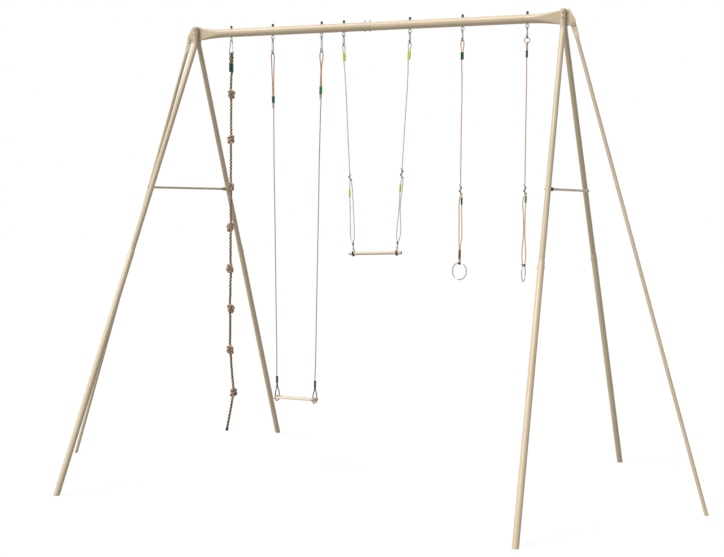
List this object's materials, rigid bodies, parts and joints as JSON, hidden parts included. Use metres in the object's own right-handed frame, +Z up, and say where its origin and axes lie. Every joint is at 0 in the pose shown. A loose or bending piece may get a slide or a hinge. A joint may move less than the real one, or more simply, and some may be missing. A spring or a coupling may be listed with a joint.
{
  "type": "swing frame",
  "caption": "Tube frame on two A-shaped ends with side struts, carrying a knotted climbing rope, a board swing, a trapeze and a pair of gym rings.",
  "frame": {"origin": "on the ground, in the middle between the six feet", "axes": "+Z up, +X along the top beam towards the gym rings, -Y the front"},
  "size_m": [6.0958, 3.7122, 4.066],
  "materials": {
    "frame_paint": "satin cream powder coat",
    "fasteners": "zinc plated",
    "hooks": "bright drawn wire",
    "gym_rings": "polished, blue-grey",
    "swing_rope": "laid rope, three strands",
    "climbing_rope": "thick laid rope, three strands",
    "sleeves": "moulded green plastic",
    "adjusters": "dull grey-green",
    "wood": "varnished light wood",
    "black_caps": "black push-on nut caps"
  },
  "bodies": {
    "frame": {"beam_left": "frame_paint", "beam_right": "frame_paint", "upper_leg_front_left": "frame_paint", "upper_leg_front_right": "frame_paint", "upper_leg_back_left": "frame_paint", "upper_leg_back_right": "frame_paint", "lower_leg_front_left": "frame_paint", "lower_leg_front_right": "frame_paint", "lower_leg_back_left": "frame_paint", "lower_leg_back_right": "frame_paint", "side_strut_left": "frame_paint", "side_strut_right": "frame_paint", "apex_bracket_left": "frame_paint", "apex_bracket_right": "frame_paint", "apex_bolt_upper_left": "fasteners", "apex_bolt_upper_right": "fasteners", "apex_bolt_lower_left": "fasteners", "apex_bolt_lower_right": "fasteners", "brace_left": "frame_paint", "brace_right": "frame_paint", "brace_bolt_front_left": "fasteners", "brace_bolt_front_right": "fasteners", "brace_bolt_back_left": "fasteners", "brace_bolt_back_right": "fasteners", "eye_bolt_climb": "fasteners", "eye_bolt_low_left": "fasteners", "eye_bolt_low_right": "fasteners", "eye_bolt_trapeze_left": "fasteners", "eye_bolt_trapeze_right": "fasteners", "eye_bolt_ring_left": "fasteners", "eye_bolt_ring_right": "fasteners"},
    "climbing_hook": {"hook_climb": "hooks"},
    "climbing_line": {"climbing_rope": "climbing_rope", "climbing_sleeve": "sleeves"},
    "low_swing": {"hook_low_left": "hooks", "hook_low_right": "hooks", "low_rope_left": "swing_rope", "low_rope_right": "swing_rope", "low_sleeve_left": "sleeves", "low_sleeve_right": "sleeves", "seat_cleat_left": "wood", "seat_cleat_right": "wood", "seat_board": "wood"},
    "trapeze": {"hook_trapeze_left": "hooks", "hook_trapeze_right": "hooks", "trapeze_rope_left": "swing_rope", "trapeze_rope_right": "swing_rope", "trapeze_adjuster_left": "adjusters", "trapeze_adjuster_right": "adjusters", "trapeze_bar": "wood"},
    "ring_hanger_left": {"hook_ring_left": "hooks"},
    "ring_line_left": {"ring_rope_left": "swing_rope", "ring_adjuster_left": "adjusters"},
    "ring_left": {"gym_ring_left": "gym_rings"},
    "ring_hanger_right": {"hook_ring_right": "hooks"},
    "ring_line_right": {"ring_link": "hooks", "ring_rope_right": "swing_rope", "ring_adjuster_right": "adjusters"},
    "ring_right": {"gym_ring_right": "gym_rings"}
  },
  "joints": [
    {"name": "climbing_hook_sway", "type": "hinge", "parent": "frame", "child": "climbing_hook", "pos_m": [-1.391, 0, 3.9267], "axis": [0, 1, 0], "range_deg": [-5, 5]},
    {"name": "climbing_line_swing", "type": "hinge", "parent": "climbing_hook", "child": "climbing_line", "pos_m": [-1.391, 0, 3.7952], "axis": [1, 0, 0], "range_deg": [-60, 60]},
    {"name": "low_swing_swing", "type": "hinge", "parent": "frame", "child": "low_swing", "pos_m": [-0.715, 0, 3.9267], "axis": [1, 0, 0], "range_deg": [-60, 60]},
    {"name": "trapeze_swing", "type": "hinge", "parent": "frame", "child": "trapeze", "pos_m": [0.065, 0, 3.9267], "axis": [1, 0, 0], "range_deg": [-60, 60]},
    {"name": "ring_left_swing", "type": "hinge", "parent": "frame", "child": "ring_hanger_left", "pos_m": [0.866, 0, 3.9267], "axis": [1, 0, 0], "range_deg": [-60, 60]},
    {"name": "ring_left_sway", "type": "hinge", "parent": "ring_hanger_left", "child": "ring_line_left", "pos_m": [0.866, 0, 3.8392], "axis": [0, 1, 0], "range_deg": [-7, 7]},
    {"name": "ring_left_tilt", "type": "hinge", "parent": "ring_line_left", "child": "ring_left", "pos_m": [0.866, 0, 1.9485], "axis": [0.9681, -0.2504, 0], "range_deg": [-60, 60]},
    {"name": "ring_right_swing", "type": "hinge", "parent": "frame", "child": "ring_hanger_right", "pos_m": [1.441, 0, 3.9267], "axis": [1, 0, 0], "range_deg": [-60, 60]},
    {"name": "ring_right_sway", "type": "hinge", "parent": "ring_hanger_right", "child": "ring_line_right", "pos_m": [1.441, 0, 3.8392], "axis": [0, 1, 0], "range_deg": [-7, 7]},
    {"name": "ring_right_tilt", "type": "hinge", "parent": "ring_line_right", "child": "ring_right", "pos_m": [1.441, 0, 1.9485], "axis": [0, 1, 0], "range_deg": [-60, 60]}
  ]
}
